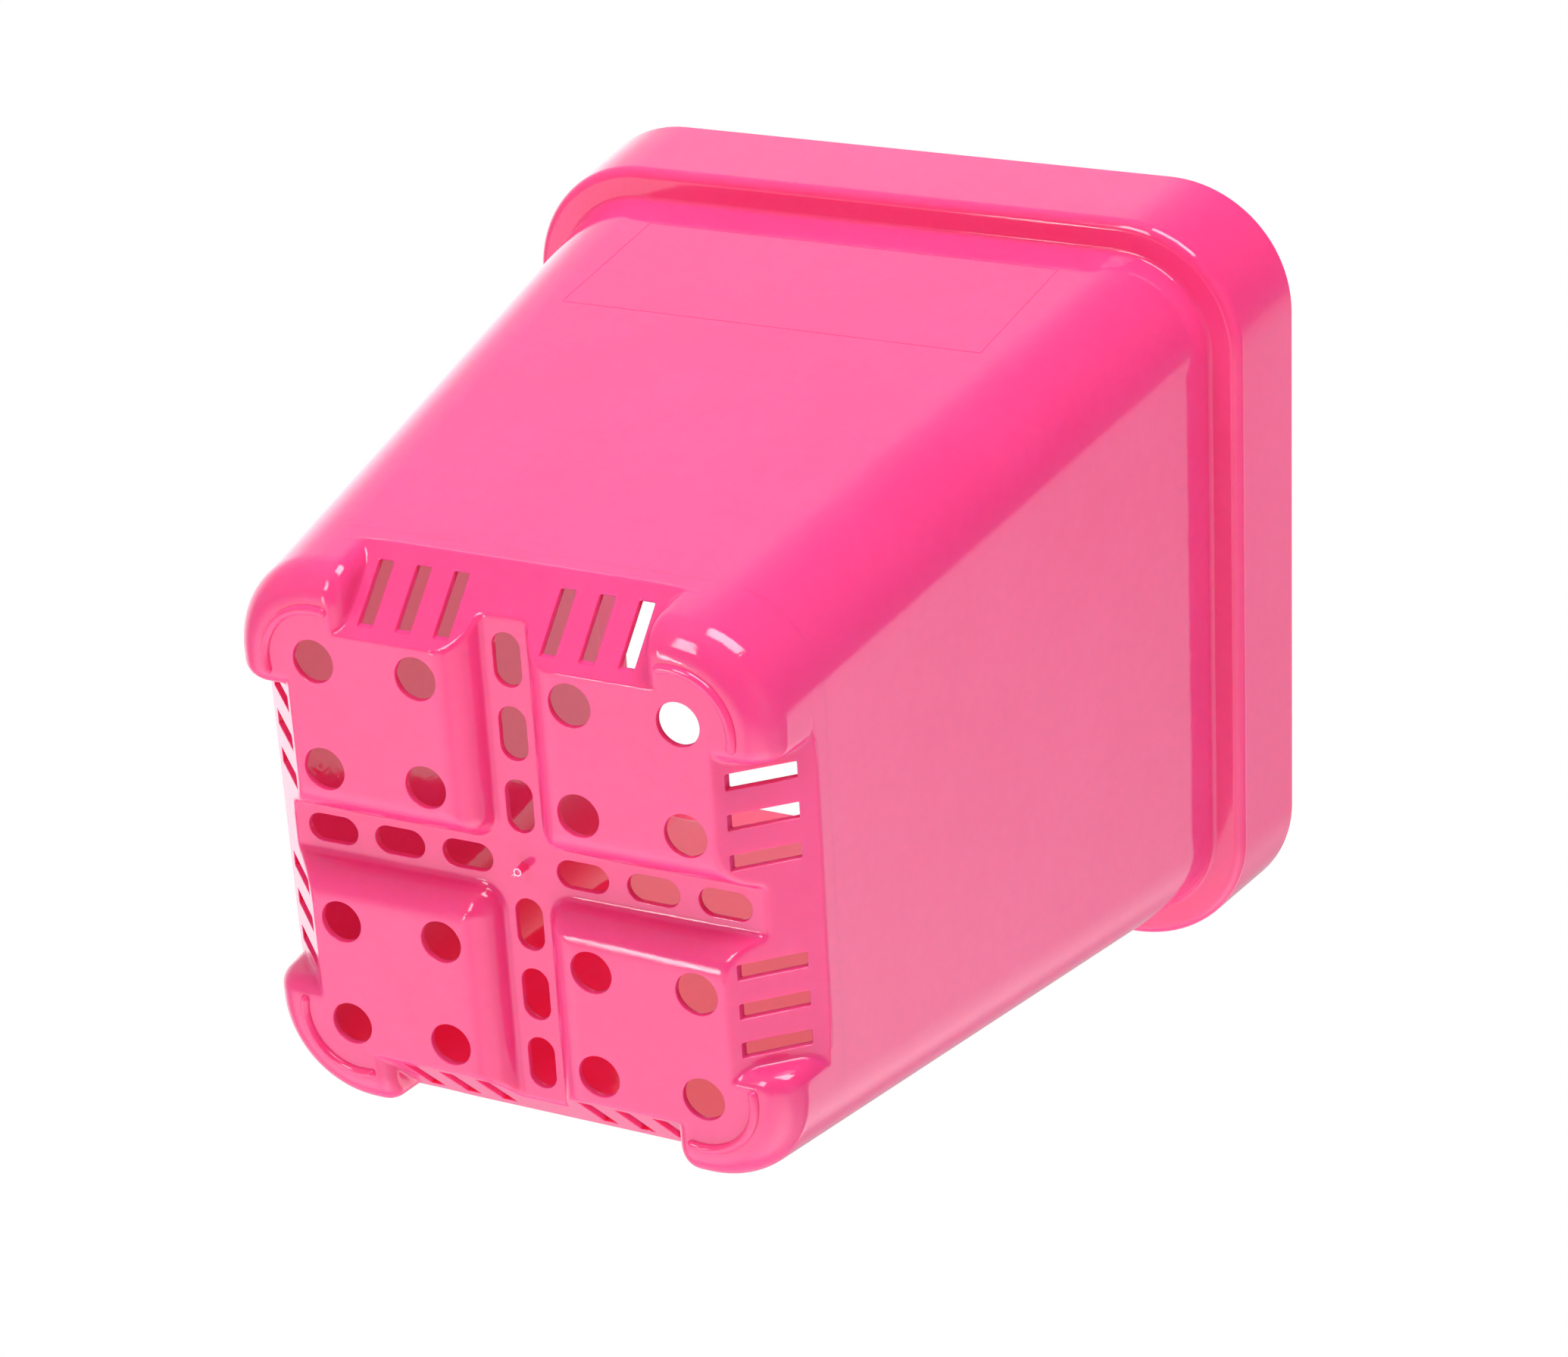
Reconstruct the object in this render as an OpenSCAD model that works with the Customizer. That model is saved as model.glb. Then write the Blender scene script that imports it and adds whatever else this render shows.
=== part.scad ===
// Square seed starting pot, moulded in one piece of polypropylene.
// It stands upright: the origin is under the middle of the base and +Z runs up to the rim.
// All sizes are in millimetres.

/* [Body] */
// Outer width across the mouth
rim_w = 140; // [134:1:150]
// Height from the ground to the rim
pot_h = 158; // [130:1:190]
// Outer width of the wall, run down to the underside of the pads
foot_w = 94.8; // [92:0.1:98]
// Plan radius of the wall's corners
corner_r = 16.7; // [15:0.1:18]
// Radius where the wall turns under into the pads
base_r = 6.2; // [5:0.1:6.5]
// Thickness of the moulding
wall_t = 1.15; // [0.9:0.05:1.4]

/* [Collar] */
// Height of the stepped-out collar
collar_h = 21.4; // [12:0.1:30]
// Width of the ledge under the collar
ledge_w = 5.6; // [4:0.1:7]
// Draft of the collar in degrees
collar_draft = 3.8; // [1:0.1:5]
// Radius of the collar's lower edge
collar_r = 2; // [1.6:0.1:3]

/* [Cross channel] */
// Depth of the channel above the underside of the pads
channel_d = 5.2; // [4:0.1:6]
// Width of the channel roof
channel_w = 8.4; // [7.6:0.1:9]
// Draft of the channel walls in degrees
channel_draft = 10; // [5:1:12]
// Radius of the pad edges along the channel
pad_edge_r = 3.1; // [2:0.1:3.4]
// Plan radius of the pads at the crossing
pad_corner_r = 4.2; // [4:0.1:5]

/* [Side recesses] */
// Width between two feet
recess_w = 55.2; // [52:0.1:58]
// Distance from the middle to the recess's lower edge
recess_reach = 37.3; // [36.5:0.1:38]
// Radius of the feet's upright edges
foot_edge_r = 3; // [2:0.1:4]

/* [Drain holes] */
// Diameter of the round holes
hole_d = 7.3; // [5:0.1:8]
// Distance of the inner holes from the middle lines
hole_near = 13.6; // [13:0.1:15]
// Distance of the outer holes from the middle lines
hole_far = 32.2; // [30:0.1:32.5]
// Length of a channel slot
slot_l = 9.2; // [7:0.1:10.5]
// Width of a channel slot
slot_w = 4.9; // [3:0.1:6]
// Distance from the middle to the first channel slot
slot_first = 10.4; // [9:0.1:11]
// Spacing of the channel slots
slot_pitch = 12.5; // [11.5:0.1:12.6]
// Channel slots in each arm
slot_n = 3; // [1:1:3]

/* [Side vents] */
// Width of a vent
vent_w = 2.7; // [1.5:0.1:4]
// Height of a vent's lower end above the pads
vent_low = 1.5; // [1.2:0.1:3]
// Height of a vent's upper end above the pads
vent_high = 9.55; // [6:0.05:9.6]
// Distance from the middle of a side to its first vent
vent_first = 9.4; // [9:0.1:10]
// Spacing of the vents
vent_pitch = 6.8; // [5:0.1:7]
// Vents on each side of the channel
vent_n = 3; // [1:1:3]

/* [Foot ribs and gate] */
// Radius of a rib's centre line
rib_r = 9.7; // [8:0.1:9.8]
// Width of a rib
rib_w = 1.6; // [1:0.1:2]
// Height of a rib, which the pot stands on
rib_h = 0.8; // [0.4:0.1:1.2]
// Sweep of a rib in degrees
rib_sweep = 112; // [80:1:120]
// Diameter of the gate nub
gate_d = 1.4; // [1:0.1:2]
// Length of the gate nub
gate_l = 2.4; // [1:0.1:3]

/* [Hidden] */
$fn = 48;
pink = [0.93, 0.22, 0.47];
steps = 10;        // facets in a quarter turn of the wall's corner
edge_steps = 5;    // facets across a rounded edge
over = 1;          // how far a cutter runs past what it cuts

// Where the levels are
ledge_z = pot_h - collar_h;
collar_low = rim_w / 2 - collar_h * tan(collar_draft);   // half width of the collar, run down to the ledge
wall_top = collar_low - ledge_w;                          // half width of the wall at the ledge
wall_slope = (wall_top - foot_w / 2) / (ledge_z - rib_h);
wall_draft = atan(wall_slope);
rib_c = wall_half(rib_h + base_r) - corner_r;             // a foot's corner centre, which its rib goes round
pad_axis = channel_w / 2 + pad_corner_r;                  // the pads' corner axis at the crossing

// Half width of the wall and of the collar at a height
function wall_half(z) = foot_w / 2 + (z - rib_h) * wall_slope;
function collar_half(z) = collar_low + (z - ledge_z) * tan(collar_draft);

// Points of an arc round [x, y]
function arc(x, y, r, from, to, n) =
    [for (i = [0:n]) let (a = from + (to - from) * i / n) [x + r * cos(a), y + r * sin(a)]];
// One level of the body: [height, half width, corner radius]
function level(z, half, centre) = [z, half, half - centre];
// The level as a rounded square of points
function ring(l) = [for (q = [0:3]) for (p = arc(0, 0, l[2], 90 * q, 90 * q + 90, steps))
    let (c = l[1] - l[2], s = [[1, 1], [-1, 1], [-1, -1], [1, -1]][q]) [s[0] * c + p[0], s[1] * c + p[1], l[0]]];

// Levels of the body's outside, or of its inside when moved in by e
function body_levels(e) = let (
        turn_z = rib_h + base_r,
        turn_a = wall_half(turn_z) - base_r / cos(wall_draft),
        under = arc(turn_a, turn_z, base_r - e, -90, -wall_draft, edge_steps),
        side = e / cos(wall_draft),
        top_c = wall_top - corner_r,
        edge_z = ledge_z + collar_r,
        edge_a = collar_half(edge_z) - collar_r,
        edge = arc(edge_a, edge_z, collar_r - e, -90, 0, edge_steps),
        lip = pot_h + (e > 0 ? over : 0))
    concat(
        [for (p = under) level(p[1], p[0], wall_half(p[1]) - corner_r)],
        [level(ledge_z + e, wall_half(ledge_z + e) - side, top_c)],
        [for (p = edge) level(p[1], p[0], top_c)],
        [level(lip, collar_half(lip) - e, top_c)]);

// A closed skin through the levels
module loft(levels) {
    n = 4 * (steps + 1);
    m = len(levels);
    polyhedron(
        points = [for (l = levels) each ring(l)],
        faces = concat(
            [[for (i = [0:n - 1]) i]],
            [for (k = [0:m - 2]) for (i = [0:n - 1]) let (j = (i + 1) % n) each
                [[k * n + i, (k + 1) * n + i, (k + 1) * n + j], [k * n + i, (k + 1) * n + j, k * n + j]]],
            [[for (i = [n - 1:-1:0]) (m - 1) * n + i]]),
        convexity = 4);
}

// Copies on the four sides
module each_side() {
    for (a = [0:90:270]) rotate(a) children();
}

// What a recess takes away on the +X side: a 45 degree slope between two round-edged feet
module recess(e) {
    half = recess_w / 2;
    r = foot_edge_r - e;
    foot = arc(-foot_edge_r, half + foot_edge_r, r, -90, 0, edge_steps);
    low = recess_reach - e * sqrt(2);
    run = 30;
    intersection() {
        translate([0, 0, rib_h]) rotate([90, 0, 0]) linear_extrude(height = 2 * recess_w, center = true)
            polygon([[low - 3, -3], [low + run, -3], [low + run, run]]);
        translate([foot_w / 2, 0, rib_h]) rotate([0, wall_draft, 0])
            translate([0, 0, -5]) linear_extrude(height = run) polygon(concat(
                [[-run, -half - e], [-run, half + e]],
                foot,
                [[run, half + foot_edge_r], [run, -half - foot_edge_r]],
                [for (i = [len(foot) - 1:-1:0]) [foot[i][0], -foot[i][1]]]));
    }
}

// The pad's edge beside the channel, from the pad to the channel roof
function pad_edge(e) = let (
        d = channel_draft,
        roof = rib_h + channel_d,
        cz = rib_h + pad_edge_r,
        cs = channel_w / 2 + (roof - cz) * tan(d) + pad_edge_r / cos(d))
    concat(
        [[cs, -5]],
        arc(cs, cz, pad_edge_r - e, 270, 180 + d, edge_steps),
        [[channel_w / 2 + e / cos(d) - e * tan(d), roof + e]]);

// What the cross channel takes away from the base
module channel(e) {
    edge = pad_edge(e);
    roof = rib_h + channel_d + e;
    reach = foot_w / 2 + 5;
    for (a = [0, 90]) rotate(a) rotate([90, 0, 0]) linear_extrude(height = 2 * reach, center = true)
        polygon(concat(edge, [for (i = [len(edge) - 1:-1:0]) [-edge[i][0], edge[i][1]]]));
    each_side() difference() {
        translate([0, 0, -4]) cube([pad_axis, pad_axis, roof + 4]);
        translate([pad_axis, pad_axis, 0]) rotate([0, 0, 180]) rotate_extrude(angle = 90)
            polygon(concat([[0, roof + over], [0, -5]], [for (p = edge) [pad_axis - p[0], p[1]]],
                [[pad_axis - edge[len(edge) - 1][0], roof + over]]));
    }
}

// The body as a solid, with its surfaces moved in by e
module form(e) {
    difference() {
        loft(body_levels(e));
        each_side() recess(e);
        channel(e);
    }
}

// Round holes in the four pads
module drain_holes() {
    for (x = [-hole_far, -hole_near, hole_near, hole_far]) for (y = [-hole_far, -hole_near, hole_near, hole_far])
        translate([x, y, -over]) cylinder(d = hole_d, h = rib_h + wall_t + 2 * over);
}

// Slots along the channel
module channel_slots() {
    each_side() for (i = [0:slot_n - 1]) translate([slot_first + i * slot_pitch, 0, 0])
        for (s = [-1, 1]) {
            translate([s * (slot_l - slot_w) / 2, 0, 0]) cylinder(d = slot_w, h = rib_h + channel_d + wall_t + over);
            if (s > 0) translate([-(slot_l - slot_w) / 2, -slot_w / 2, 0])
                cube([slot_l - slot_w, slot_w, rib_h + channel_d + wall_t + over]);
        }
}

// Vents through the sloped recess faces
module side_vents() {
    each_side() for (s = [-1, 1]) for (i = [0:vent_n - 1])
        translate([recess_reach + vent_low, s * (vent_first + i * vent_pitch) - vent_w / 2, -over])
            cube([vent_high - vent_low, vent_w, rib_h + vent_high + 2 * wall_t + 2 * over]);
}

// Arc ribs under the feet
module foot_ribs() {
    each_side() translate([rib_c, rib_c, 0]) {
        rotate(45 - rib_sweep / 2) rotate_extrude(angle = rib_sweep)
            translate([rib_r - rib_w / 2, 0]) square([rib_w, rib_h + wall_t / 2]);
        for (s = [-1, 1]) rotate(45 + s * rib_sweep / 2) translate([rib_r, 0, 0])
            cylinder(d = rib_w, h = rib_h + wall_t / 2);
    }
}

// The stub left where the plastic was fed in
module gate_nub() {
    translate([0, 0, rib_h + channel_d - gate_l]) cylinder(d = gate_d, h = gate_l + wall_t / 2);
}

// The whole moulding
module pot() {
    color(pink) {
        difference() {
            form(0);
            form(wall_t);
            drain_holes();
            channel_slots();
            side_vents();
        }
        foot_ribs();
        gate_nub();
    }
}

pot();
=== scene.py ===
# %% [markdown]
# # A square seed starting pot
# This lesson dresses a packed CAD part as the real thing: a glossy hot pink pot, moulded in one
# shot of polypropylene and photographed from below. The CAD part is the fixed frame, and the
# piece modelled here stands in the same place with the soft blends that a mould gives.

# %% Load the packed part
import math

import bmesh
import bpy
from mathutils import Matrix, Vector


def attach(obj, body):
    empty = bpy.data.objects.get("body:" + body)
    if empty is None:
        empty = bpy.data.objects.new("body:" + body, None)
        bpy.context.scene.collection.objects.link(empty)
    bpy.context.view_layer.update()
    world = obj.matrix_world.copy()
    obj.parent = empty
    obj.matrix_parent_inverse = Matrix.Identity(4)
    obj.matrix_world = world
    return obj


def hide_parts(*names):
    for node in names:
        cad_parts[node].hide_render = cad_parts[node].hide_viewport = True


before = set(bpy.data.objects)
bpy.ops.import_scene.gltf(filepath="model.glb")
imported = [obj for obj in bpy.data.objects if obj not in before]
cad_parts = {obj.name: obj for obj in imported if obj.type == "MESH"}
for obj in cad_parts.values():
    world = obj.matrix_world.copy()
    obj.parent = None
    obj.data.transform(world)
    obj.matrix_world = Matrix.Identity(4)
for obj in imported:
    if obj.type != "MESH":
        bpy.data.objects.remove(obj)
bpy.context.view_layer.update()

# %% [markdown]
# ## Sizes
# All sizes are in millimetres here and become metres where they meet Blender. The pot is a
# tapered rounded square. Its corners keep one plan radius all the way up, because the wall only
# leans outward, and the collar's corners turn round the same centres as the wall's.

# %% The pot's sizes
MM = 0.001
POT_H, RIM_HALF, WALL_T = 158.0, 70.0, 1.15
PAD_Z = 0.8                 # underside of the pads: the pot stands on ribs of this height
FOOT_HALF, CORNER_R, BASE_R = 47.4, 16.7, 6.2
LEDGE_Z, LEDGE_W, LEDGE_R, NOOK_R = 136.6, 5.6, 2.0, 0.8
COLLAR_DRAFT = math.radians(3.8)
collar_low = RIM_HALF - (POT_H - LEDGE_Z) * math.tan(COLLAR_DRAFT)
wall_top = collar_low - LEDGE_W
slope = (wall_top - FOOT_HALF) / (LEDGE_Z - PAD_Z)
draft = math.atan(slope)
QUARTER = math.pi / 2
QUADRANTS = [(1, 1), (-1, 1), (-1, -1), (1, -1)]
SIDES = [(1, 0), (0, 1), (-1, 0), (0, -1)]
OVERRUN = 1.0               # how far a cutting shape runs past the plastic that it cuts


def wall_half(z):
    """Half the width of the pot across its flat walls at a height."""
    return FOOT_HALF + (z - PAD_Z) * slope


print(f"the wall leans {math.degrees(draft):.2f} degrees and meets the ledge {wall_top:.2f} mm out")

# %% [markdown]
# ## Small helpers
# Blender's operators act on whatever is selected. These helpers select just what a step needs:
# one object, or the vertices, edges or faces that lie in a given place. The others wrap the steps
# that come again and again: a copy, an applied modifier, a boolean and a cut by a plane.

# %% Selecting things


def alone(o):
    """Selects one object and nothing else."""
    if bpy.context.object and bpy.context.object.mode == "EDIT":
        bpy.ops.object.mode_set(mode="OBJECT")
    bpy.ops.object.select_all(action="DESELECT")
    o.select_set(True)
    bpy.context.view_layer.objects.active = o
    return o


def edit(o):
    """Goes into edit mode on one object."""
    alone(o)
    bpy.ops.object.mode_set(mode="EDIT")


def leave():
    """Goes back to object mode."""
    bpy.ops.object.mode_set(mode="OBJECT")


def settle(o):
    """Gives an object's place, turn and scale to its mesh."""
    alone(o)
    bpy.ops.object.transform_apply(location=True, rotation=True, scale=True)
    return o


def face_outward():
    """In edit mode, turns every face of the mesh outward."""
    bpy.ops.mesh.select_all(action="SELECT")
    bpy.ops.mesh.normals_make_consistent(inside=False)


def pick(kind, test, middle=None):
    """In edit mode, selects what has all its vertices pass a test, and its middle another."""
    bpy.ops.mesh.select_mode(type=kind)
    bpy.ops.mesh.select_all(action="DESELECT")
    mesh = bmesh.from_edit_mesh(bpy.context.object.data)
    found = 0
    for item in {"VERT": mesh.verts, "EDGE": mesh.edges, "FACE": mesh.faces}[kind]:
        points = [v.co / MM for v in ([item] if kind == "VERT" else item.verts)]
        centre = sum(points, Vector()) / len(points)
        if all(test(p) for p in points) and (middle is None or middle(centre)):
            item.select = True
            found += 1
    mesh.select_flush_mode()
    bmesh.update_edit_mesh(bpy.context.object.data)
    return found


def near(a, b, by=0.01):
    """Whether two lengths in millimetres are the same, for the purpose of selecting."""
    return abs(a - b) < by


def copy_of(o, name):
    """A copy with a mesh of its own."""
    alone(o)
    bpy.ops.object.duplicate()
    made = bpy.context.object
    made.name = name
    return made


def modify(o, kind, **settings):
    """Adds a modifier and applies it."""
    alone(o)
    bpy.ops.object.modifier_add(type=kind)
    for key, value in settings.items():
        setattr(o.modifiers[-1], key, value)
    bpy.ops.object.modifier_apply(modifier=o.modifiers[-1].name)
    return o


def combine(o, other, how):
    """Adds, takes away or keeps the overlap of another closed solid, which is then removed."""
    modify(o, "BOOLEAN", operation=how, solver="MANIFOLD", object=other)
    bpy.data.objects.remove(other)
    return o


def slice_off(o, point, normal, fill=True):
    """Cuts away what lies beyond a plane, on the side that its normal points to."""
    edit(o)
    bpy.ops.mesh.select_all(action="SELECT")
    bpy.ops.mesh.bisect(
        plane_co=[c * MM for c in point], plane_no=normal, use_fill=fill, clear_outer=True)
    leave()
    return o


print("helpers are ready, for lengths of", MM, "m")

# %% [markdown]
# ## The body's outside and inside
# A moulding has an outside from one half of the mould and an inside from the other. Both have the
# same form, a wall's thickness apart, so one function makes either: a plane becomes a rounded
# square with a vertex bevel, and the face is extruded upward in steps. At each step the four
# corners are moved out on their own, which keeps their radius, as scaling would not.

# %% Body blanks
CORNER_STEPS, LEDGE_STEPS, NOOK_STEPS, BASE_STEPS = 24, 6, 5, 12


def spread(z, centre, radius, new_centre, new_radius):
    """Moves the selected outline's four corners out, and gives them a new radius."""
    bpy.ops.mesh.select_mode(type="VERT")
    mesh = bmesh.from_edit_mesh(bpy.context.object.data)
    mesh.verts.index_update()
    outline = [v.index for v in mesh.verts if v.select]
    ratio = new_radius / radius
    for sx, sy in QUADRANTS:
        mesh = bmesh.from_edit_mesh(bpy.context.object.data)
        mesh.verts.ensure_lookup_table()
        bpy.ops.mesh.select_all(action="DESELECT")
        for i in outline:
            v = mesh.verts[i]
            v.select = v.co.x * sx > 0 and v.co.y * sy > 0
        mesh.select_flush_mode()
        bpy.ops.transform.resize(
            value=(ratio, ratio, 1),
            center_override=(sx * centre[0] * MM, sy * centre[1] * MM, z * MM))
        bpy.ops.transform.translate(value=(
            sx * (new_centre[0] - centre[0]) * MM, sy * (new_centre[1] - centre[1]) * MM, 0))
    mesh = bmesh.from_edit_mesh(bpy.context.object.data)
    mesh.verts.ensure_lookup_table()
    for i in outline:
        mesh.verts[i].select = True
    mesh.select_flush_mode()
    bmesh.update_edit_mesh(bpy.context.object.data)


def raise_face(z, to):
    """Extrudes the selected face upward or downward, from one height to another."""
    bpy.ops.mesh.extrude_region_move(TRANSFORM_OT_translate={"value": (0, 0, (to - z) * MM)})


def fillet(radius, turn):
    """How far from an edge a fillet of this radius starts, where the surface turns so far."""
    return radius * math.tan(turn / 2) * MM


def blank(name, inset):
    """The body without its feet and channel, with its surface moved in."""
    corner, collar_corner = CORNER_R - inset, CORNER_R + LEDGE_W - inset
    low, ledge = PAD_Z + inset, LEDGE_Z + inset
    top = POT_H + (OVERRUN if inset else 0)
    half, half_up = (wall_half(z) - inset / math.cos(draft) for z in (low, ledge))
    collar = [RIM_HALF - (POT_H - z) * math.tan(COLLAR_DRAFT) - inset for z in (ledge, top)]
    bpy.ops.mesh.primitive_plane_add(size=2 * half * MM, location=(0, 0, low * MM))
    o = settle(bpy.context.object)
    o.name = name
    edit(o)
    bpy.ops.mesh.select_all(action="SELECT")
    bpy.ops.mesh.bevel(offset=corner * MM, segments=CORNER_STEPS, affect="VERTICES", profile=0.5)
    pick("FACE", lambda p: True)
    middle = [half - corner, half_up - corner, collar[0] - collar_corner, collar[1] - collar_corner]
    steps = [(ledge, middle[0], corner, middle[1], corner),
             (ledge, middle[1], corner, middle[2], collar_corner),
             (top, middle[2], collar_corner, middle[3], collar_corner)]
    z = low
    for to, centre, radius, new_centre, new_radius in steps:
        raise_face(z, to)
        spread(to, (centre, centre), radius, (new_centre, new_centre), new_radius)
        z = to
    face_outward()

    def out(p):
        """How far out a point of the ledge is, counted square to its outline."""
        return middle[2] + math.hypot(max(abs(p.x) - middle[2], 0), max(abs(p.y) - middle[2], 0))

    def on_lip(p):
        return near(p.z, ledge) and out(p) > half_up + 1

    def in_nook(p):
        return near(p.z, ledge) and near(out(p), half_up, 0.2)

    found = []
    for test, radius, lean, count in [
            (on_lip, LEDGE_R - inset, COLLAR_DRAFT, LEDGE_STEPS),
            (in_nook, NOOK_R + inset, draft, NOOK_STEPS),
            (lambda p: near(p.z, low), BASE_R - inset, draft, BASE_STEPS)]:
        found.append(pick("EDGE", test))
        bpy.ops.mesh.bevel(offset=fillet(radius, QUARTER - lean), segments=count, profile=0.5)
    leave()
    print(name, "bevelled", found, "edges:", len(o.data.polygons), "faces")
    return o


print("corners of", CORNER_STEPS, "steps, of radius", CORNER_R, "mm")

# %% [markdown]
# ## The base: a core and four feet
# Between its corner feet the base slopes in at 45 degrees on each side. That is easiest to see as
# a core, which is the body with four sloping cuts, and four feet, which are the body's corners
# with their cut ends rounded. Made apart, every rounded edge is a clean chain that Blender's
# bevel turns into a true fillet. Then the two are added together.

# %% The core and the feet
RECESS_HALF, RECESS_REACH, RECESS_R, RECESS_LOW_R, FOOT_EDGE_R = 26.3, 37.3, 3.0, 1.3, 3.0
CAP_Z = 20.0                # the base is made up to here
SEAM_Z = 16.0               # and then trimmed here, where it meets the walls


def core(body, inset):
    """The base between the feet, with its four sloping sides."""
    o = copy_of(body, "core")
    slice_off(o, (0, 0, CAP_Z), (0, 0, 1))
    reach, low_z = RECESS_REACH - inset / math.sqrt(2), PAD_Z + inset / math.sqrt(2)
    for sx, sy in SIDES:
        slice_off(o, (sx * reach, sy * reach, low_z), (sx, sy, -1))
    edit(o)

    def top_edge(p):
        """Whether a point lies both on a slope and on the wall."""
        out = max(abs(p.x), abs(p.y))
        return near(out, reach + p.z - low_z, 0.02) and near(
            out, wall_half(p.z) - inset / math.cos(draft), 0.02)

    found = pick("EDGE", top_edge)
    bpy.ops.mesh.bevel(
        offset=fillet(RECESS_R - inset, math.pi / 4 - draft), segments=5, profile=0.5)
    leave()
    print("core: bevelled", found, "edges")
    return o


def feet(body, inset):
    """The body's four corners, with their cut edges rounded."""
    side = RECESS_HALF + inset
    foot = copy_of(body, "foot")
    slice_off(foot, (0, 0, CAP_Z), (0, 0, 1))
    slice_off(foot, (side, 0, 0), (-1, 0, 0))
    slice_off(foot, (0, side, 0), (0, -1, 0))
    edit(foot)
    found = pick(
        "EDGE", lambda p: near(p.x, side) or near(p.y, side),
        lambda m: m.z < CAP_Z - 0.1 and m.x + m.y > 2 * side + 0.1)
    bpy.ops.mesh.bevel(offset=(FOOT_EDGE_R - inset) * MM, segments=6, profile=0.5)
    leave()
    print("foot: bevelled", found, "edges")
    made = []
    for turn in range(4):
        o = copy_of(foot, f"foot_{turn}")
        o.rotation_euler.z = turn * QUARTER
        made.append(settle(o))
    bpy.data.objects.remove(foot)
    return made


# %% [markdown]
# ## The cross channel
# Two drain channels cross under the base. The pads swell out of them in one long arc, from nearly
# upright at the roof to level with the pads, and only the crossing's corners are round in plan.
# The cutter starts as a plus-shaped outline with rounded inner corners. It is extruded downward
# along the arc, and at each step its arms and corners are moved out on their own.

# %% The channel cutter
CHANNEL_D, CHANNEL_HALF, PAD_ARC_R, PAD_CORNER_R, CHANNEL_NOOK_R = 5.2, 4.35, 6.5, 4.2, 0.9
ROOF_Z = PAD_Z + CHANNEL_D
ARC_Z = PAD_Z + PAD_ARC_R
ARC_MIDDLE = CHANNEL_HALF + math.sqrt(PAD_ARC_R ** 2 - (PAD_ARC_R - CHANNEL_D) ** 2)
ARC_STEPS, ARC_END = 12, math.radians(2)    # the arc stops just short of level
ARM_REACH, CUTTER_LOW_Z = 60.0, -4.0        # the cutter's arms and its foot pass the pot's base
CROSSING_MIN_R = 0.1                        # the crossing's corners close in to this low down
NOOK_GROWTH = 0.3                           # the share of an inset that the nook's radius grows by
OUTLINE_REACH = 31.0                        # the slopes' outline ends inside the feet


def channel(inset):
    """A plus-shaped cutter, upside down, whose sides turn outward along the pads' arc."""
    roof, radius, reach = ROOF_Z + inset, PAD_ARC_R - inset, ARM_REACH
    axis, first = CHANNEL_HALF + PAD_CORNER_R, math.acos((ARC_Z - roof) / radius)
    turns = [first + (ARC_END - first) * i / ARC_STEPS for i in range(ARC_STEPS + 1)]
    rings = [(ARC_Z - radius * math.cos(a), ARC_MIDDLE - radius * math.sin(a)) for a in turns]
    rings.append((CUTTER_LOW_Z, rings[-1][1]))
    z, half = rings[0]
    bpy.ops.mesh.primitive_plane_add(size=2 * half * MM, location=(0, 0, z * MM))
    o = settle(bpy.context.object)
    o.name = "channel_cutter"
    edit(o)
    for sx, sy in SIDES:
        pick("EDGE", lambda p: near(p.x * sx + p.y * sy, half),
             lambda m: near(m.x * sy, 0) and near(m.y * sx, 0))
        arm = (reach - half) * MM
        bpy.ops.mesh.extrude_region_move(TRANSFORM_OT_translate={"value": (sx * arm, sy * arm, 0)})
    bpy.ops.mesh.select_all(action="SELECT")
    bpy.ops.mesh.dissolve_limited(angle_limit=0.01)
    pick("VERT", lambda p: near(abs(p.x), half) and near(abs(p.y), half))
    bpy.ops.mesh.bevel(offset=(axis - half) * MM, segments=8, affect="VERTICES", profile=0.5)
    corner = axis - half
    for to, wide in rings[1:]:
        pick("FACE", lambda p: near(p.z, z, 0.001))
        raise_face(z, to)
        new = max(axis - wide, CROSSING_MIN_R)
        for sx, sy in QUADRANTS:
            pick("VERT", lambda p: near(p.z, to, 0.001)
                 and 0 < p.x * sx < reach - 1 and 0 < p.y * sy < reach - 1)
            middle, shift = half + corner, wide + new - half - corner
            bpy.ops.transform.resize(
                value=(new / corner, new / corner, 1),
                center_override=(sx * middle * MM, sy * middle * MM, to * MM))
            bpy.ops.transform.translate(value=(sx * shift * MM, sy * shift * MM, 0))
        for sx, sy in SIDES:
            for s in (-1, 1):
                pick("VERT", lambda p: near(p.z, to, 0.001) and near(p.x * sx + p.y * sy, reach)
                     and (p.x * sy + p.y * sx) * s > 0)
                move = s * (wide - half) * MM
                bpy.ops.transform.translate(value=(sy * move, sx * move, 0))
        z, half, corner = to, wide, new
    face_outward()
    pick("EDGE", lambda p: near(p.z, roof, 0.001))
    nook = CHANNEL_NOOK_R + NOOK_GROWTH * inset
    bpy.ops.mesh.bevel(offset=fillet(nook, first), segments=NOOK_STEPS, profile=0.5)
    leave()
    print("cutter:", len(o.data.polygons), "faces")
    return o


def round_slopes(o):
    """Rounds the outline that the sloping faces cut from the pads and the channel."""
    edit(o)
    found = pick("EDGE", lambda p: near(max(abs(p.x), abs(p.y)) - p.z, RECESS_REACH - PAD_Z, 0.02)
                 and p.z < ROOF_Z + 0.01 and min(abs(p.x), abs(p.y)) < OUTLINE_REACH)
    bpy.ops.mesh.bevel(offset=fillet(RECESS_LOW_R, math.pi / 4), segments=4, profile=0.5)
    leave()
    print("slope outline: bevelled", found, "edges")


print(f"channel: {2 * CHANNEL_HALF} mm wide at its roof and {2 * ARC_MIDDLE:.1f} mm at the pads")

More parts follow.
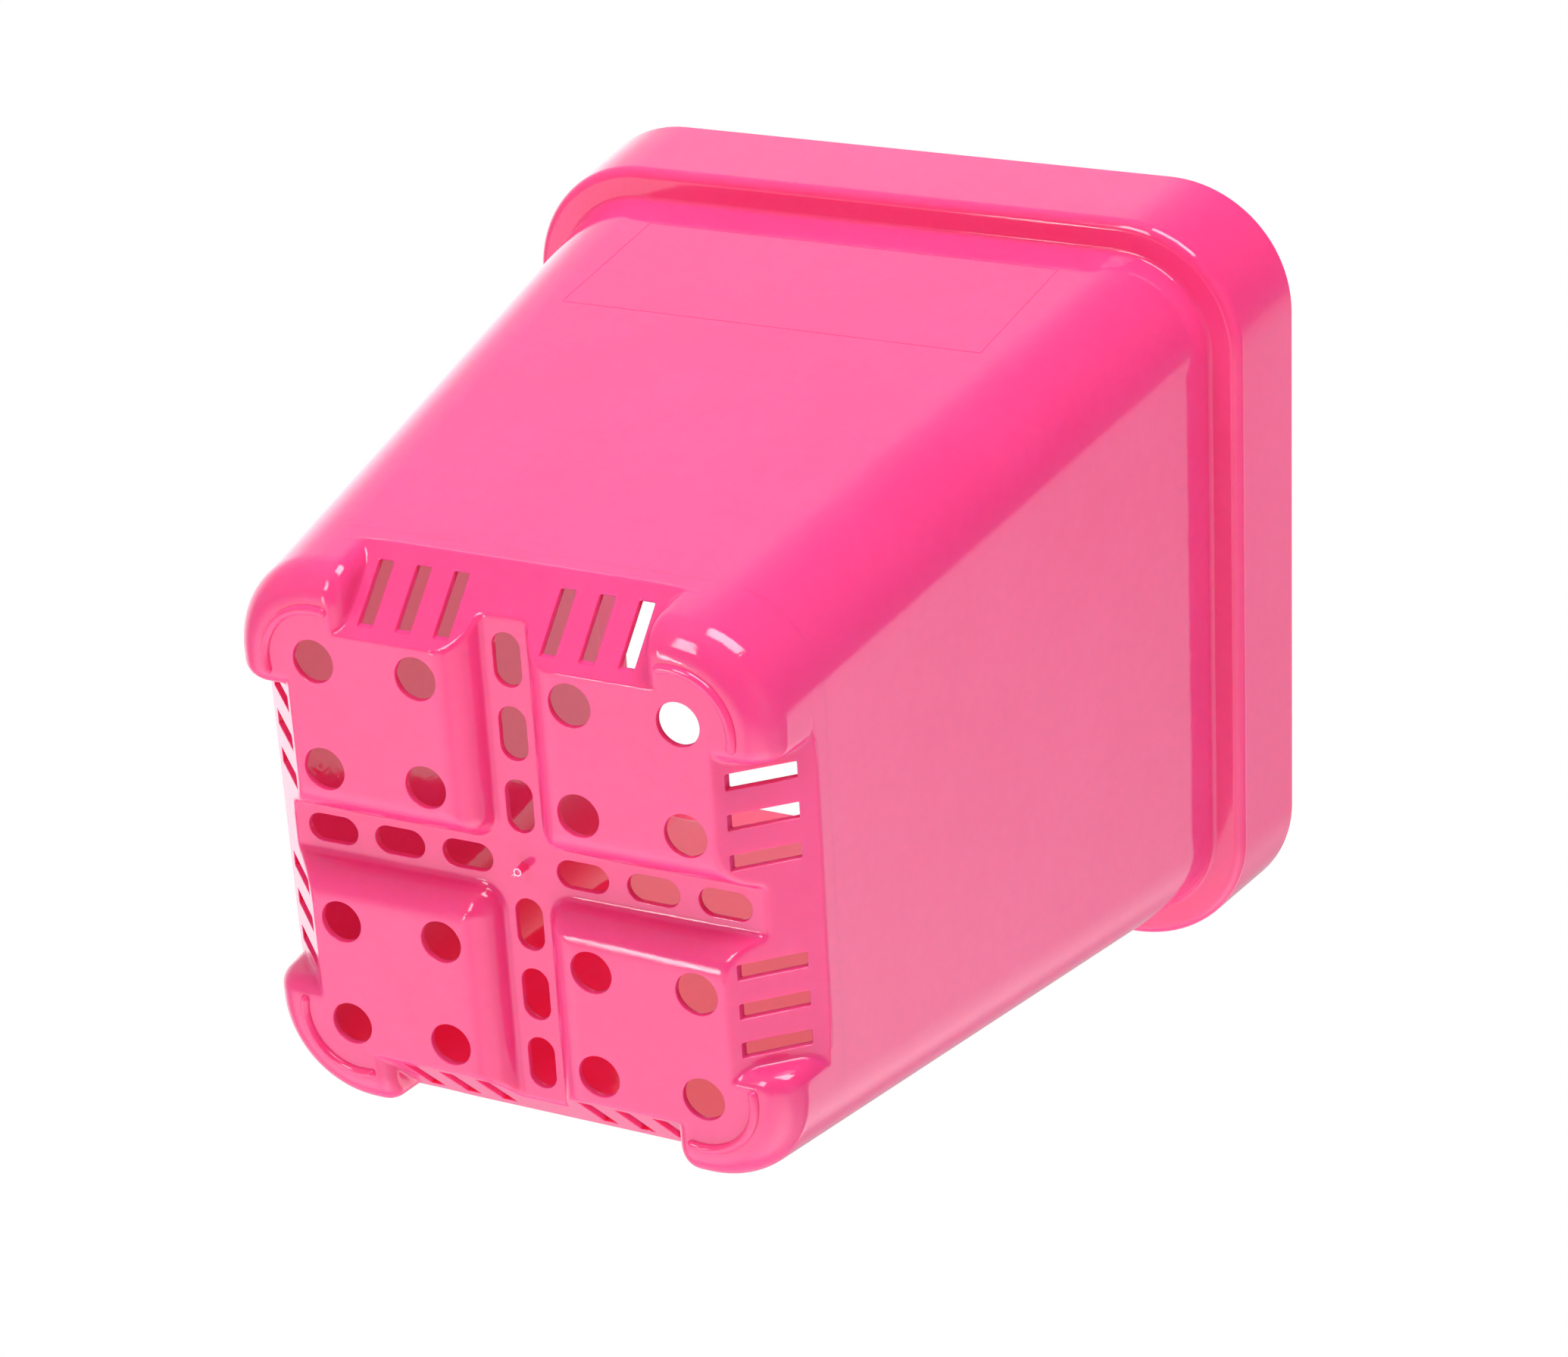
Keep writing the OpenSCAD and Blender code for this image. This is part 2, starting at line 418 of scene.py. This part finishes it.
# %% [markdown]
# ## Softening the base
# Where fillets run into each other the real moulding flows, with no crease. Rebuilding the base
# as an even skin of small squares and relaxing it a little does the same, and the flat pads stay
# flat. Decimation then thins the squares where nothing curves.

# %% The softened base
RELAX_TIMES = 4


def base(body, inset, square, keep):
    """The base as an even skin of small squares, relaxed and then thinned."""
    o = combine(core(body, inset), channel(inset), "DIFFERENCE")
    if not inset:           # inside, the wall's thickness uses up this small radius
        round_slopes(o)
    for foot in feet(body, inset):
        combine(o, foot, "UNION")
    modify(o, "REMESH", mode="VOXEL", voxel_size=square * MM, adaptivity=0)
    before = len(o.data.polygons)
    modify(o, "SMOOTH", factor=0.5, iterations=RELAX_TIMES)
    slice_off(o, (0, 0, SEAM_Z), (0, 0, 1), fill=False)
    modify(o, "DECIMATE", decimate_type="COLLAPSE", ratio=keep)
    print(f"base: {before} squares, thinned to {len(o.data.polygons)} triangles")
    return o


def open_edges():
    """In edit mode, selects the edges with a face on one side only, and counts them."""
    bpy.ops.mesh.select_mode(type="EDGE")
    bpy.ops.mesh.select_all(action="DESELECT")
    bpy.ops.mesh.select_non_manifold(extend=False)
    return sum(e.select for e in bmesh.from_edit_mesh(bpy.context.object.data).edges)


def form(name, inset, square, keep):
    """The closed form: the softened base joined to the blank's clean walls."""
    body = blank(name, inset)
    foot = base(body, inset, square, keep)
    slice_off(body, (0, 0, SEAM_Z), (0, 0, -1), fill=False)
    alone(body)
    foot.select_set(True)
    bpy.ops.object.join()
    edit(body)
    print("open edges to bridge:", open_edges())
    bpy.ops.mesh.bridge_edge_loops()
    face_outward()
    left = open_edges()
    leave()
    print(name, "open edges left:", left, "faces", len(body.data.polygons))
    return body


# %% Outside and inside
outside = form("pot_moulding", inset=0.0, square=0.3, keep=0.16)
inside = form("inside", inset=WALL_T, square=0.5, keep=0.2)
pot = combine(outside, inside, "DIFFERENCE")
print("shell:", len(pot.data.polygons), "faces")

# %% [markdown]
# ## Drain holes, slots and vents
# Water leaves by 16 round holes in the pads, 12 long slots in the channel and 24 upright vents in
# the sloping faces. Each is a punch: a small circle whose quarters are pulled apart to make a
# slot or a window, extruded through the wall. It flares by a hair at both skins, which rounds the
# rim that is left. Each kind is modelled once, copied to its places and then cut in one go.

# %% Punches
HOLE_D, HOLES = 7.3, (13.6, 32.2)
SLOT_L, SLOT_W, SLOTS = 9.2, 4.9, (10.4, 22.9, 35.4)
VENT_W, VENT_L, VENT_LOW, VENT_R, VENTS = 2.7, 8.05, 1.5, 0.3, (9.4, 16.2, 23.0)
VENT_X = RECESS_REACH + VENT_LOW + VENT_L / 2
FLARE, FLARE_TURNS = 0.14, (0, 30, 60, 90)


def outline(name, centre, radius, points=64):
    """A flat outline of four arcs round the middle."""
    bpy.ops.mesh.primitive_circle_add(
        vertices=points, radius=radius * MM, fill_type="NGON", rotation=(0, 0, math.pi / points))
    o = settle(bpy.context.object)
    o.name = name
    edit(o)
    bpy.ops.mesh.select_all(action="SELECT")
    spread(0, (0, 0), radius, centre, radius)
    return o


def flared(centre, radius, z, way):
    """Extrudes the outline upward through a rounded rim, closing to its size or opening from it."""
    turns = FLARE_TURNS if way < 0 else FLARE_TURNS[::-1]
    now, wide = z, radius + (FLARE if way < 0 else 0)
    for turn in turns[1:]:
        a = math.radians(turn)
        to = z + FLARE * (1 - math.cos(a) if way < 0 else math.cos(a))
        new = radius + FLARE * (1 - math.sin(a))
        raise_face(now, to)
        spread(to, centre, wide, centre, new)
        now, wide = to, new


def punch(name, centre, radius, low, high):
    """An upright punch through a level skin."""
    o = outline(name, centre, radius + FLARE)
    bpy.ops.transform.translate(value=(0, 0, (low - OVERRUN) * MM))
    raise_face(low - OVERRUN, low)
    flared(centre, radius, low, -1)
    raise_face(low + FLARE, high - FLARE)
    flared(centre, radius, high - FLARE, 1)
    raise_face(high, high + OVERRUN)
    face_outward()
    leave()
    return o


def placed(o, name, x, y, turn=0):
    """A copy moved to its place, turned about the middle of the pot afterwards."""
    made = copy_of(o, name)
    made.location = (x * MM, y * MM, 0)
    settle(made)
    made.rotation_euler.z = turn
    return settle(made)


def joined(pieces, name):
    """Makes one object of several."""
    alone(pieces[0])
    for o in pieces:
        o.select_set(True)
    bpy.ops.object.join()
    pieces[0].name = name
    return pieces[0]


hole = punch("hole", (0, 0), HOLE_D / 2, PAD_Z, PAD_Z + WALL_T)
slot = punch("slot", ((SLOT_L - SLOT_W) / 2, 0), SLOT_W / 2, ROOF_Z, ROOF_Z + WALL_T)
punches = [placed(hole, "hole_cut", sx * x, sy * y)
           for x in HOLES for y in HOLES for sx, sy in QUADRANTS]
punches += [placed(slot, "slot_cut", x, 0, turn * QUARTER) for x in SLOTS for turn in range(4)]
for o in (hole, slot):
    bpy.data.objects.remove(o)
print(len(punches), "upright punches")

# %% [markdown]
# The vents lie in a slope of 45 degrees but the mould opens straight up. So their punch is made
# lying flat, with its flare square to the slope, then turned into the slope and drawn straight up.

# %% Vent punch
VENT_UP, VENT_OUT = 4.0, 2.0


def vent_punch():
    """A slanted punch with upright sides."""
    half = (VENT_L * math.sqrt(2) / 2 - VENT_R, VENT_W / 2 - VENT_R)
    o = outline("vent", half, VENT_R + FLARE, points=32)
    flared(half, VENT_R, 0, -1)
    leave()
    o.rotation_euler.y = -math.pi / 4
    edit(settle(o))
    lean = Vector((-1, 0, 1)) / math.sqrt(2)
    pick("FACE", lambda p: near(p @ lean, FLARE, 0.001))
    raise_face(0, VENT_UP)
    pick("FACE", lambda p: near(p @ lean, 0, 0.001))
    bpy.ops.mesh.extrude_region_move(TRANSFORM_OT_translate={"value": -VENT_OUT * MM * lean})
    face_outward()
    bpy.ops.transform.translate(value=(0, 0, (PAD_Z + VENT_X - RECESS_REACH) * MM))
    leave()
    return o


vent = vent_punch()
punches += [placed(vent, "vent_cut", VENT_X, s * y, turn * QUARTER)
            for y in VENTS for s in (-1, 1) for turn in range(4)]
bpy.data.objects.remove(vent)
print(len(punches), "punches in all")
combine(pot, joined(punches, "punches"), "DIFFERENCE")
print("punched:", len(pot.data.polygons), "faces")

# %% [markdown]
# ## Foot ribs
# The pot stands on a half-round bead under each foot, which runs round the foot's own corner. A
# torus gives the bead. Two cuts leave the arc that is needed, two balls round its ends, and the
# half that shows is what stands out of the pad.

# %% Foot ribs
RIB_R, RIB_W, RIB_SWEEP = 9.7, 1.6, math.radians(112)
RIB_MIDDLE = wall_half(PAD_Z + BASE_R) - CORNER_R      # a foot's corner turns round this place
ribs = []
for turn in range(4):
    bpy.ops.mesh.primitive_torus_add(
        major_radius=RIB_R * MM, minor_radius=RIB_W / 2 * MM, major_segments=180, minor_segments=32,
        location=(0, 0, 0))
    rib = bpy.context.object
    for side in (-1, 1):
        a = side * RIB_SWEEP / 2
        slice_off(rib, (0, 0, 0), (-side * math.sin(a), side * math.cos(a), 0))
    for side in (-1, 1):
        a = side * RIB_SWEEP / 2
        bpy.ops.mesh.primitive_uv_sphere_add(
            segments=32, ring_count=16, radius=RIB_W / 2 * MM,
            location=(RIB_R * MM * math.cos(a), RIB_R * MM * math.sin(a), 0))
        combine(rib, settle(bpy.context.object), "UNION")
    rib.rotation_euler.z = math.pi / 4
    rib.location = (RIB_MIDDLE * MM, RIB_MIDDLE * MM, PAD_Z * MM)
    settle(rib)
    rib.rotation_euler.z = turn * QUARTER
    ribs.append(settle(rib))
combine(pot, joined(ribs, "ribs"), "UNION")
print("with ribs:", len(pot.data.polygons), "faces")

# %% [markdown]
# ## Gate stub
# The plastic came in through the middle of the base, and a stub of it was left when the runner
# broke off: a little post whose end is dished, with two wisps of plastic drawn from its lip.

# %% Gate stub
GATE_L, ROOT_R, ROOT_Z = 2.4, 1.0, ROOF_Z + 0.5       # its root starts within the wall
tip = ROOF_Z - GATE_L
bpy.ops.mesh.primitive_circle_add(
    vertices=40, radius=ROOT_R * MM, fill_type="NGON", location=(0, 0, ROOT_Z * MM))
stub = settle(bpy.context.object)
edit(stub)
bpy.ops.mesh.select_all(action="SELECT")
stub_steps = [(ROOF_Z, 0.84), (ROOF_Z - 0.12, 0.74), (ROOF_Z - 0.4, 0.72), (ROOF_Z - 0.8, 0.72),
              (tip + 0.5, 0.7), (tip + 0.12, 0.7), (tip + 0.03, 0.68), (tip, 0.64),
              (tip, 0.52), (tip + 0.1, 0.46), (tip + 0.24, 0.3), (tip + 0.27, 0.1)]
z, wide = ROOT_Z, ROOT_R
for to, radius in stub_steps:
    raise_face(z, to)
    bpy.ops.transform.resize(
        value=(radius / wide, radius / wide, 1), center_override=(0, 0, to * MM))
    z, wide = to, radius
face_outward()
leave()
combine(pot, stub, "UNION")

# Each wisp: the place on the lip where it starts, the way it points, and its length.
WISPS = [((-0.5, 0.42), (-0.80, 0.45, -0.2), 0.85), ((-0.42, 0.5), (-0.35, 0.85, -0.3), 0.6)]
WISP_THICK, WISP_THIN, WISP_ROOT, WISP_UP = 0.1, 0.025, 0.15, 0.08
for at, way, length in WISPS:
    way = Vector(way).normalized()
    middle = Vector((at[0], at[1], tip + WISP_UP)) + way * (length / 2 - WISP_ROOT)
    bpy.ops.mesh.primitive_cone_add(
        vertices=10, radius1=WISP_THICK * MM, radius2=WISP_THIN * MM, depth=length * MM,
        location=middle * MM, rotation=way.to_track_quat("Z", "Y").to_euler())
    combine(pot, settle(bpy.context.object), "UNION")
print("with the stub:", len(pot.data.polygons), "faces")

# %% [markdown]
# ## Panel line
# The wall that faces -Y was moulded against an insert. Its outline is a hair-fine groove round a
# plain panel. A frame, which is one slab less a smaller one, is laid in the wall's own slope and
# sinks in by half of its own depth.

# %% Panel line
PANEL_HALF, PANEL_Z, GROOVE_W, GROOVE_D = 39.5, (95.6, 128.0), 0.22, 0.07
PANEL_MIDDLE = sum(PANEL_Z) / 2
PANEL_LONG = (PANEL_Z[1] - PANEL_Z[0]) / math.cos(draft)
slabs = []
for less, deep in ((0.0, 2 * GROOVE_D), (GROOVE_W, OVERRUN)):
    bpy.ops.mesh.primitive_cube_add(size=1)
    slab = bpy.context.object
    slab.scale = [MM * v for v in (2 * (PANEL_HALF - less), deep, PANEL_LONG - 2 * less)]
    slab.rotation_euler.x = draft
    slab.location = (0, -wall_half(PANEL_MIDDLE) * MM, PANEL_MIDDLE * MM)
    slabs.append(settle(slab))
combine(pot, combine(slabs[0], slabs[1], "DIFFERENCE"), "DIFFERENCE")
print("with the panel line:", len(pot.data.polygons), "faces")

# %% [markdown]
# ## Rim
# The rim is the sharpest edge on the pot, but even it is eased by the mould.

# %% Rim
RIM_EASE = 0.3
edit(pot)
found = pick("EDGE", lambda p: near(p.z, POT_H))
bpy.ops.mesh.bevel(offset=RIM_EASE * MM, segments=3, profile=0.5)
leave()
print("rim: eased", found, "edges:", len(pot.data.polygons), "faces")

# %% [markdown]
# ## Finishing the mesh
# The walls shade as one smooth skin while rims stay crisp. Weighted normals let the big flat faces
# decide the shading next to the small ones, so no fillet throws a smear across a wall.

# %% Finished mesh
CREASE = math.radians(30)   # an edge that turns further than this stays sharp
alone(pot)
bpy.ops.object.shade_smooth_by_angle(angle=CREASE)
modify(pot, "WEIGHTED_NORMAL", mode="FACE_AREA", weight=50, keep_sharp=True)
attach(pot, "root")
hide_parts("pot")
print(pot.name, "is finished:", len(pot.data.vertices), "vertices")

# %% [markdown]
# ## A small language for shaders
# A material is a tree of nodes. This class wraps one socket, so that sums and products on it add
# Math nodes, and its `node` method adds any other node from its type, settings and inputs.

# %% Shader helper


class Wire:
    """A socket in a node tree that takes part in Python arithmetic."""

    def __init__(self, tree, socket=None):
        self.tree, self.socket = tree, socket

    def node(self, kind, settings=None, inputs=None, out=0):
        """Adds a node: its settings first, then the values or links of its sockets."""
        made = self.tree.nodes.new(kind)
        for key, value in (settings or {}).items():
            setattr(made, key, value)
        for key, value in (inputs or {}).items():
            if isinstance(value, Wire):
                self.tree.links.new(value.socket, made.inputs[key])
            else:
                made.inputs[key].default_value = value
        return Wire(self.tree, made.outputs[out])

    def into(self, target):
        """Links this socket to a node's input."""
        self.tree.links.new(self.socket, target)

    def math(self, how, *values):
        """Adds a Math node on two values."""
        return self.node("ShaderNodeMath", {"operation": how}, dict(enumerate(values)))

    def __add__(self, other):
        return self.math("ADD", self, other)

    def __radd__(self, other):
        return self.math("ADD", other, self)

    def __sub__(self, other):
        return self.math("SUBTRACT", self, other)

    def __rsub__(self, other):
        return self.math("SUBTRACT", other, self)

    def __mul__(self, other):
        return self.math("MULTIPLY", self, other)

    def __rmul__(self, other):
        return self.math("MULTIPLY", other, self)

    def at_most(self, other):
        return self.math("MINIMUM", self, other)

    def at_least(self, other):
        return self.math("MAXIMUM", self, other)

    def step(self, low, high):
        """0 below one value and 1 above another, with a smooth run between."""
        return self.node("ShaderNodeMapRange", {"interpolation_type": "SMOOTHSTEP"},
                         {"Value": self, "From Min": low, "From Max": high})

    def blend(self, first, second):
        """A colour mixed from two by this factor."""
        return self.node("ShaderNodeMix", {"data_type": "RGBA"},
                         {"Factor": self, 6: first, 7: second}, out=2)

    def along(self, direction):
        """The part of this vector that points in a direction."""
        return self.node("ShaderNodeVectorMath", {"operation": "DOT_PRODUCT"},
                         {0: self, 1: direction}, out="Value")


def toward(azimuth, elevation):
    """A direction as a unit vector, from degrees."""
    a, e = math.radians(azimuth), math.radians(elevation)
    return Vector((math.cos(a) * math.cos(e), math.sin(a) * math.cos(e), math.sin(e)))


print("what a wire can do:", [name for name in vars(Wire) if not name.startswith("_")])

# %% [markdown]
# ## The plastic
# Coloured polypropylene has its colour right through, so no edge wears to another one. What the
# eye reads is gloss. The mould was polished on the walls, and left a fine grain on the base,
# which breaks the highlights there. A mould is never quite flat either: a slow, faint waviness
# makes the reflections wander a little, and the pigment is not mixed to perfection. Red light
# soaks further into the plastic than the rest does. Only where the plastic was torn, on the gate
# stub's lip, is it stretched white.

# %% Plastic
DEEP_PINK, LIGHT_PINK = (0.84, 0.054, 0.228, 1), (0.88, 0.062, 0.248, 1)
STRETCHED_WHITE = (0.86, 0.66, 0.78, 1)
material = bpy.data.materials.new("hot_pink_polypropylene")
material.use_nodes = True
shader = material.node_tree.nodes["Principled BSDF"]
shader.inputs["IOR"].default_value = 1.53
shader.inputs["Subsurface Weight"].default_value = 0.8
shader.inputs["Subsurface Radius"].default_value = (1.0, 0.04, 0.08)
shader.inputs["Subsurface Scale"].default_value = 0.004
nodes = Wire(material.node_tree)
place = nodes.node("ShaderNodeTexCoord", out="Object")
parts = {axis: nodes.node("ShaderNodeSeparateXYZ", inputs={0: place}, out=axis) for axis in "XYZ"}


def noise(scale, detail, rough=0.5):
    """Noise with this many bumps in a metre."""
    return nodes.node("ShaderNodeTexNoise", inputs={
        "Vector": place, "Scale": scale, "Detail": detail, "Roughness": rough}, out="Fac")


# The colour: two shades of pink in soft clouds and fine specks, so close that they hardly show.
clouds = noise(28, detail=3.0)
pigment = noise(420, detail=4.0, rough=0.6)
tone = (0.35 * pigment + 0.65 * clouds).step(0.32, 0.68)
pink = tone.blend(DEEP_PINK, LIGHT_PINK)

# The torn lip: a ring round the stub's axis, by the square of the radius, at the stub's very tip.
from_axis = parts["X"] * parts["X"] + parts["Y"] * parts["Y"]
ring = from_axis.step(0.20e-6, 0.26e-6) * (1 - from_axis.step(4e-6, 5e-6))
torn = ring * (1 - parts["Z"].step(0.00368, 0.00378))
torn.blend(pink, STRETCHED_WHITE).into(shader.inputs["Base Color"])

# The surface: a slow wave, a fine peel and, from the ground up to 10 mm, the grain of the base.
base_mask = 1 - parts["Z"].step(0.010, 0.020)
grain = noise(5200, detail=2.0, rough=0.6)
peel = noise(900, detail=1.0)
wave = noise(45, detail=1.0)
roughness = 0.075 + 0.02 * (peel - 0.5) + 0.03 * base_mask * (grain - 0.5)
roughness.into(shader.inputs["Roughness"])
height = 0.010 * wave + 0.0012 * peel + (0.0001 + 0.0005 * base_mask) * grain
bump = nodes.node(
    "ShaderNodeBump", inputs={"Strength": 1.0, "Distance": 0.01, "Height": height}, out="Normal")
bump.into(shader.inputs["Normal"])
pot.data.materials.clear()
pot.data.materials.append(material)
print("plastic:", len(material.node_tree.nodes), "nodes")

# %% [markdown]
# ## The studio
# The backdrop is white. What the plastic mirrors is a plainer room: a pale table, a screen above
# it, a glow behind the pot, and two dark places, which keep the pot's corner and its foot deep in
# colour. What lights the plastic softly is set apart from that. The camera looks up from under the
# floor, as the pot shows its base, so the floor is clear from below, and pale and shadowed from
# above.

# %% Floor
bpy.ops.mesh.primitive_plane_add(size=4)
floor = bpy.context.object
floor.name = "floor"
paper = bpy.data.materials.new("pale_floor")
paper.use_nodes = True
floor_shader = paper.node_tree.nodes["Principled BSDF"]
floor_shader.inputs["Base Color"].default_value = (0.9, 0.9, 0.9, 1)
floor_shader.inputs["Roughness"].default_value = 0.7
wires = Wire(paper.node_tree)
below = wires.node("ShaderNodeNewGeometry", out="Backfacing")
clear = wires.node("ShaderNodeBsdfTransparent")
mixed = wires.node("ShaderNodeMixShader", inputs={
    0: below, 1: Wire(paper.node_tree, floor_shader.outputs[0]), 2: clear})
mixed.into(paper.node_tree.nodes["Material Output"].inputs["Surface"])
floor.data.materials.append(paper)
floor.visible_diffuse = floor.visible_glossy = floor.visible_transmission = False
floor.visible_shadow = False        # it takes the pot's shadow but throws none on the pot
print("floor:", floor.dimensions.x, "m square")

# %% World
scene = bpy.context.scene
scene.view_settings.view_transform = "Standard"
world = bpy.data.worlds.new("studio")
scene.world = world
world.use_nodes = True
air = Wire(world.node_tree)
look = air.node("ShaderNodeTexCoord", out="Generated")
rays = {name: air.node("ShaderNodeLightPath", out=name)
        for name in ("Is Camera Ray", "Is Glossy Ray", "Is Transmission Ray")}


def side(azimuth, elevation, reach):
    """1 toward one side of the room, falling to 0 at some degrees from it."""
    return look.along(toward(azimuth, elevation)).step(
        math.cos(math.radians(reach)), math.cos(math.radians(reach / 5)))


def above(elevation, soft):
    """1 above an elevation and 0 below it, with a soft edge."""
    level = math.sin(math.radians(elevation))
    return look.along((0, 0, 1)).step(level - soft, level + soft)


def past(azimuth, soft):
    """1 on the far side of an upright plane that stands at an azimuth, with a soft edge."""
    return look.along(toward(azimuth + 90, 0)).step(-soft, soft)


# The soft light: a little from all round, more from above, and three wide glows.
soft_level = (0.12 + 0.30 * above(50, 0.15) + 1.5 * side(20, 70, 36) + 2.3 * side(90, -18, 90)
              + 1.4 * side(262, 5, 50))

# The mirrored room, from a grey of 0.5. The screen is brightest along its lower edge.
glow = 0.40 * side(190, 40, 50) + 0.85 * side(165, 30, 35)
table = 0.8 * side(52, -8, 40) + 1.65 * side(68, -35, 41).at_least(side(125, -46, 44))
screen = past(17, 0.05) * (1 - past(78, 0.15)) * above(33, 0.05) * past(-45, 0.05)
dark = 0.60 * side(318, 28, 66) + 0.45 * side(305, -62, 50)
mirrored = (0.50 + glow + table + screen * (1.5 - 1.2 * above(44, 0.11)) - dark).at_least(0.0)
seen = rays["Is Glossy Ray"] * mirrored + (1 - rays["Is Glossy Ray"]) * soft_level
white = (rays["Is Camera Ray"] + rays["Is Transmission Ray"]).at_most(1.0)
level = white + (1 - white) * seen
background = world.node_tree.nodes["Background"]
background.inputs["Color"].default_value = (1, 1, 1, 1)
level.into(background.inputs["Strength"])
print("studio:", len(world.node_tree.nodes), "nodes")

# %% [markdown]
# ## Lamps
# Three soft boxes stand round the pot. A tall one to the front draws the lights on the feet and
# the collar, a thin strip close to the base draws the line along a pad's edge and does nothing
# else, and one above lights the wall that faces it. Each is set by its direction and by how wide
# it looks from the pot, and its power follows from how bright its face should be.

# %% Lamps


def soft_box(name, start, end, breadth, brightness, away=1.5):
    """An area lamp that reaches from one direction to another, some degrees broad."""
    ends = [toward(*start), toward(*end)]
    way = (ends[0] + ends[1]).normalized()
    along = (ends[1] - ends[0]).normalized()
    turned = Matrix((along, way.cross(along), way)).transposed()
    length = 2 * away * math.tan(ends[0].angle(ends[1]) / 2)
    width = 2 * away * math.tan(math.radians(breadth / 2))
    bpy.ops.object.light_add(type="AREA", location=way * away)
    lamp = bpy.context.object
    lamp.name = name
    lamp.rotation_euler = turned.to_euler()
    lamp.data.shape = "RECTANGLE"
    lamp.data.size, lamp.data.size_y = length, width
    lamp.data.energy = brightness * math.pi * length * width
    lamp.visible_camera = False
    print(f"{name}: {length:.2f} x {width:.2f} m, {lamp.data.energy:.1f} W")
    return lamp


soft_box("front_box", (256, -39), (241, -60), 15, 9.5)
strip = soft_box("front_strip", (202, -60), (160, -69), 2.6, 20, away=0.4)
strip.visible_diffuse = False       # it draws a mirrored line and adds no light of its own
soft_box("overhead_box", (274, 3), (305, 3), 26, 10.3)

# %% [markdown]
# ## The camera
# It stands where the photo was taken from, below one corner, and looks up at the base. Its place,
# turn and lens were fitted to the holes, the vents and the outline that the photo shows.

# %% Camera
camera = bpy.data.objects.new("camera", bpy.data.cameras.new("camera"))
scene.collection.objects.link(camera)
camera.location = (0.30960, -0.29426, -0.48027)
camera.rotation_euler = [math.radians(a) for a in (153.73, -26.8827, 3.3519)]
camera.data.sensor_width = 36
camera.data.lens = 94.917
camera.data.clip_start, camera.data.clip_end = 0.01, 20
scene.camera = camera
print(f"camera: {camera.location.length:.2f} m from the origin, {camera.data.lens:.1f} mm lens")
